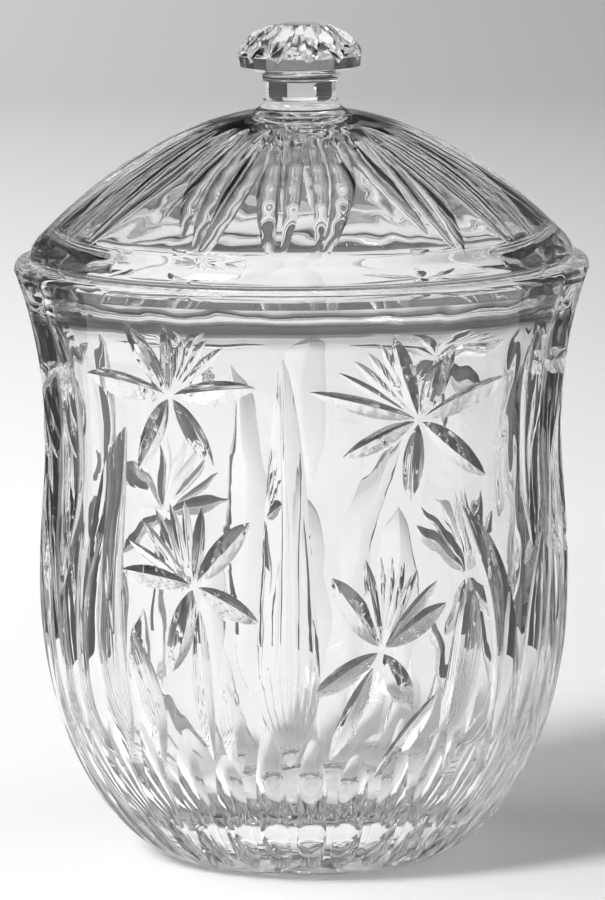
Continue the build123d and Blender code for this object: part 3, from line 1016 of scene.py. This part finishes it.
@dataclass(frozen=True)
class Wiring:
    """Nodes for sums and runs of values, added to one node tree."""

    tree: bpy.types.NodeTree

    def value(self, operation: str, first: bpy.types.NodeSocket,
              second: bpy.types.NodeSocket | float | None = None) -> bpy.types.NodeSocket:
        """Adds a sum on one or two values.

        Args:
            operation: The sum, as the node names it.
            first: First value.
            second: Second value, where the sum has one.

        Returns:
            The result.
        """
        node = self.tree.nodes.new("ShaderNodeMath")
        node.operation = operation
        self.tree.links.new(first, node.inputs[0])
        if isinstance(second, float):
            node.inputs[1].default_value = second
        elif second is not None:
            self.tree.links.new(second, node.inputs[1])
        return node.outputs[0]

    def measure(self, operation: str, first: bpy.types.NodeSocket,
                second: Vector | None = None) -> bpy.types.NodeSocket:
        """Adds a sum on one or two vectors that comes to a number.

        Args:
            operation: The sum, as the node names it.
            first: First vector.
            second: Second vector, where the sum has one.

        Returns:
            The number.
        """
        node = self.tree.nodes.new("ShaderNodeVectorMath")
        node.operation = operation
        self.tree.links.new(first, node.inputs[0])
        if second is not None:
            node.inputs[1].default_value = second
        return node.outputs["Value"]

    def run(self, value: bpy.types.NodeSocket, span: tuple[float, float],
            ends: tuple[float, float] = (0.0, 1.0), kind: str = "LINEAR") -> bpy.types.NodeSocket:
        """Adds a result that runs between two ends while a value crosses a span.

        Args:
            value: The value.
            span: Where the run starts and ends.
            ends: The result at the start and at the end.
            kind: How the result runs, as the node names it.

        Returns:
            The result.
        """
        node = self.tree.nodes.new("ShaderNodeMapRange")
        node.interpolation_type = kind
        node.inputs["From Min"].default_value, node.inputs["From Max"].default_value = span
        node.inputs["To Min"].default_value, node.inputs["To Max"].default_value = ends
        self.tree.links.new(value, node.inputs["Value"])
        return node.outputs["Result"]


@dataclass(frozen=True)
class PaleTable:
    """Matt table top, pale by the jar, whose colour carries painted shade: painted greyer far away
    and painted darker towards +X.

    For rays through the glass it also glows in a painted bright patch under and before the jar's
    foot, which stands in for the light that the jar would gather there.
    """

    name: str = "pale_table_painted_light"
    near_tone: float = 0.92
    # Painted shade: the table greys from 0.92 to 0.5 between these distances from the jar, standing
    # in for light that fades away from it.
    far_painted_tone: float = 0.5
    painted_falloff: tuple[float, float] = (0.6, 2.1)
    # Painted shade: the colour is this share lighter towards -X and darker towards +X, as the light
    # falls.
    painted_side_shade: float = 0.3
    painted_side_reach: float = 0.35
    # Painted light: a white glow that only rays through the glass see, under and before the foot, in
    # place of the light the jar would gather.
    painted_pool: float = 0.6
    painted_pool_centre: tuple[float, float, float] = (0.0, -0.05, 0.0)
    painted_pool_reach: tuple[float, float] = (0.05, 0.11)

    def material(self) -> bpy.types.Material:
        """Makes the table's colour, its painted shade and its painted glow.

        Returns:
            The material.
        """
        material = bpy.data.materials.new(self.name)
        material.use_nodes = True
        nodes, links = material.node_tree.nodes, material.node_tree.links
        wiring = Wiring(material.node_tree)
        shader = nodes["Principled BSDF"]
        shader.inputs["Roughness"].default_value = 1.0
        shader.inputs["Specular IOR Level"].default_value = 0.0
        place = nodes.new("ShaderNodeTexCoord").outputs["Object"]
        # Painted shade: the colour greys with distance from the jar.
        tone = wiring.run(wiring.measure("LENGTH", place), self.painted_falloff,
                          (self.near_tone, self.far_painted_tone))
        # Painted shade: darker towards +X, lighter towards -X.
        split = nodes.new("ShaderNodeSeparateXYZ")
        links.new(place, split.inputs[0])
        side = wiring.run(split.outputs["X"], (-self.painted_side_reach, self.painted_side_reach),
                          (1.0 + self.painted_side_shade, 1.0 - self.painted_side_shade))
        shade = nodes.new("ShaderNodeMix")
        shade.data_type = "RGBA"
        shade.blend_type = "MULTIPLY"
        shade.clamp_result = True
        shade.inputs["Factor"].default_value = 1.0
        links.new(tone, shade.inputs["A"])
        links.new(side, shade.inputs["B"])
        links.new(shade.outputs["Result"], shader.inputs["Base Color"])
        # Painted light: the table glows for rays through the glass, under and before the foot.
        painted_pool_mask = wiring.run(wiring.measure("DISTANCE", place, self.painted_pool_centre), self.painted_pool_reach,
                          (self.painted_pool, 0.0))
        through = nodes.new("ShaderNodeLightPath").outputs["Is Transmission Ray"]
        shader.inputs["Emission Color"].default_value = (1.0, 1.0, 1.0, 1.0)
        links.new(wiring.value("MULTIPLY", through, painted_pool_mask), shader.inputs["Emission Strength"])
        return material


@dataclass(frozen=True)
class DarkGlowCard:
    """Dark card that glows at one faint level in any light, as a painted dark reflection in the
    glass.
    """

    name: str = "dark_card_painted_reflection"
    # Painted dark reflection: the cards' fixed faint glow.
    shade: float = 0.04

    def material(self) -> bpy.types.Material:
        """Makes the cards' faint glow, the painted dark reflection.

        Returns:
            The material.
        """
        material = bpy.data.materials.new(self.name)
        material.use_nodes = True
        nodes = material.node_tree.nodes
        nodes.remove(nodes["Principled BSDF"])
        # Painted dark reflection: an emission of fixed faint strength, whatever the light.
        glow = nodes.new("ShaderNodeEmission")
        glow.inputs["Color"].default_value = (self.shade,) * 3 + (1.0,)
        surface = nodes["Material Output"].inputs["Surface"]
        material.node_tree.links.new(glow.outputs[0], surface)
        return material


# ---- studio ----
@dataclass(frozen=True)
class Window:
    """Soft-edged patch of light far away: azimuth and elevation in degrees, and its strength."""

    azimuth: float
    half_width: float
    low: float
    high: float
    strength: float
    soft: float = 8.0

    def light(self, wiring: Wiring, way: bpy.types.NodeSocket,
              elevation: bpy.types.NodeSocket) -> bpy.types.NodeSocket:
        """Gives the window's light along a line of sight.

        Args:
            wiring: Adds the nodes.
            way: Direction of the line of sight.
            elevation: Its angle over the horizon.

        Returns:
            The strength of the light.
        """
        ahead = wiring.measure("DOT_PRODUCT", way, round_the_axis(self.azimuth, 1.0, 0.0))
        aside = wiring.measure("DOT_PRODUCT", way,
                               round_the_axis(self.azimuth + 90.0, 1.0, 0.0))
        turn = wiring.value("ABSOLUTE", wiring.value("ARCTAN2", aside, ahead))
        light = self.edge(wiring, turn, self.half_width, False)
        for limit, rising in ((self.low, True), (self.high, False)):
            light = wiring.value("MULTIPLY", light, self.edge(wiring, elevation, limit, rising))
        return wiring.value("MULTIPLY", light, self.strength)

    def edge(self, wiring: Wiring, angle: bpy.types.NodeSocket, limit: float,
             rising: bool) -> bpy.types.NodeSocket:
        """Gives the window's share of light at one soft edge.

        Args:
            wiring: Adds the nodes.
            angle: Angle of the line of sight.
            limit: Middle of the soft edge in degrees.
            rising: Whether the light is past the limit, or before it.

        Returns:
            The share, from 0 to 1.
        """
        half = self.soft / 2.0 if rising else -self.soft / 2.0
        span = (math.radians(limit - half), math.radians(limit + half))
        return wiring.run(angle, span, kind="SMOOTHSTEP")


@dataclass
class Studio:
    """Pale table with painted shade and a painted glow, dark glowing cards beside the jar as painted
    dark reflections, and light from windows round it.

    The glass shows the windows dimmed to the glass share.
    """

    table_radius: float = 6.0
    table_gap: float = 0.00006
    table_sides: int = 128
    # The table's colour carries painted shade and a painted glow.
    table_colour_and_painted_light: PaleTable = PaleTable()
    card_radius: float = 0.33
    card_height: float = 0.36
    card_steps: int = 12
    # The cards glow faintly and only the glass sees them: painted dark reflections.
    card_painted_reflection: DarkGlowCard = DarkGlowCard()
    cards: tuple[tuple[float, float], ...] = (
        (98.0, 122.0), (125.0, 157.0), (203.0, 235.0), (238.0, 262.0),
    )
    fill: float = 0.02
    backdrop: float = 0.5
    glass_share: float = 0.3
    windows: tuple[Window, ...] = (
        Window(180.0, 34.0, -12.0, 6.0, 0.4, 4.0),
        Window(0.0, 70.0, -12.0, 32.0, 1.25, 14.0),
        Window(-90.0, 26.0, 26.0, 64.0, 2.0),
        Window(78.0, 20.0, 26.0, 58.0, 1.25),
        Window(0.0, 360.0, 64.0, 100.0, 0.2),
        Window(0.0, 360.0, -12.0, 14.0, 0.25, 6.0),
        Window(-45.0, 10.0, 32.0, 50.0, 32.5, 2.0),
    )

    def table(self) -> None:
        """Lays the table top just under the jar's foot."""
        shape = bmesh.new()
        bmesh.ops.create_circle(shape, cap_ends=True, segments=self.table_sides,
                                radius=self.table_radius)
        bmesh.ops.translate(shape, vec=(0.0, 0.0, -self.table_gap), verts=shape.verts[:])
        top = into_scene("table_top", shape)
        top.data.materials.append(self.table_colour_and_painted_light.material())

    def card(self, start: float, end: float, reflection_glow: bpy.types.Material) -> None:
        """Stands one dark glowing card that only the glass sees, a painted dark reflection.

        Args:
            start: Azimuth of its first edge.
            end: Azimuth of its last edge.
            reflection_glow: What it is made of.
        """
        shape = bmesh.new()
        foot = shape.verts.new(round_the_axis(start, self.card_radius, 0.0))
        head = shape.verts.new(round_the_axis(start, self.card_radius, self.card_height))
        edge = shape.edges.new((foot, head))
        bmesh.ops.spin(shape, geom=[foot, head, edge], cent=(0.0, 0.0, 0.0), axis=(0.0, 0.0, 1.0),
                       angle=math.radians(end - start), steps=self.card_steps)
        card = into_scene("dark_card_painted_reflection", shape)
        card.data.materials.append(reflection_glow)
        card.visible_camera = False
        card.visible_diffuse = False
        card.visible_shadow = False

    def sky(self) -> None:
        """Sets the light round the table: windows, a dim fill and a pale far background."""
        world = bpy.data.worlds.new("studio")
        bpy.context.scene.world = world
        world.use_nodes = True
        nodes, links = world.node_tree.nodes, world.node_tree.links
        wiring = Wiring(world.node_tree)
        way = nodes.new("ShaderNodeTexCoord").outputs["Generated"]
        upwards = wiring.measure("DOT_PRODUCT", way, Vector((0.0, 0.0, 1.0)))
        elevation = wiring.value("ARCSINE", upwards)
        total = None
        for window in self.windows:
            light = window.light(wiring, way, elevation)
            total = wiring.value("ADD", light, self.fill if total is None else total)
        path = nodes.new("ShaderNodeLightPath").outputs
        bounced = wiring.value("MAXIMUM", path["Is Glossy Ray"], path["Is Transmission Ray"])
        before_table = wiring.value("LESS_THAN", path["Diffuse Depth"], 0.5)
        in_glass = wiring.value("MULTIPLY", bounced, before_table)
        level = wiring.run(in_glass, (0.0, 1.0), (1.0, self.glass_share))
        choose = nodes.new("ShaderNodeMix")
        choose.data_type = "RGBA"
        links.new(path["Is Camera Ray"], choose.inputs["Factor"])
        links.new(wiring.value("MULTIPLY", total, level), choose.inputs["A"])
        choose.inputs["B"].default_value = (self.backdrop,) * 3 + (1.0,)
        links.new(choose.outputs["Result"], nodes["Background"].inputs["Color"])

    def build(self) -> None:
        """Sets up the whole studio."""
        self.table()
        reflection_glow = self.card_painted_reflection.material()
        for start, end in self.cards:
            self.card(start, end, reflection_glow)
        self.sky()
        LOG.info("studio: table, %d cards and %d windows", len(self.cards), len(self.windows))


@dataclass(frozen=True)
class Viewpoint:
    """Camera in front of the jar, a little above it, with a long lens."""

    distance: float = 1.8844
    height: float = 0.3993
    aim_height: float = 0.1121
    aside: float = -0.00014
    focal_pixels: float = 6913.8
    picture_height: float = 900.0
    sensor: float = 36.0
    roll: float = -0.0074

    def build(self) -> bpy.types.Object:
        """Makes the camera and sets it as the scene's.

        Returns:
            The camera.
        """
        data = bpy.data.cameras.new("viewpoint")
        data.sensor_width = self.sensor
        data.lens = self.focal_pixels / self.picture_height * self.sensor
        camera = bpy.data.objects.new("viewpoint", data)
        bpy.context.scene.collection.objects.link(camera)
        place = Vector((self.aside, -self.distance, self.height))
        gaze = Vector((self.aside, 0.0, self.aim_height)) - place
        turn = gaze.to_track_quat("-Z", "Y").to_matrix().to_4x4()
        camera.matrix_world = (Matrix.Translation(place) @ turn
                               @ Matrix.Rotation(self.roll, 4, "Z"))
        bpy.context.scene.camera = camera
        return camera


def main() -> None:
    """Builds the jar, its lid, the studio and the camera."""
    logging.basicConfig(level=logging.INFO, format="%(name)s: %(message)s")
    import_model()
    scene = bpy.context.scene
    scene.view_settings.view_transform = "Standard"
    scene.cycles.max_bounces = GLASS_BOUNCES
    scene.cycles.transmission_bounces = GLASS_BOUNCES
    scene.cycles.glossy_bounces = GLASS_BOUNCES
    scene.cycles.diffuse_bounces = DIFFUSE_BOUNCES
    CutJar().build(Crystal("jar_crystal"))
    CutLid().build(Crystal("lid_crystal", wave_height=0.00025))
    Studio().build()
    Viewpoint().build()


if __name__ == "__main__":
    main()
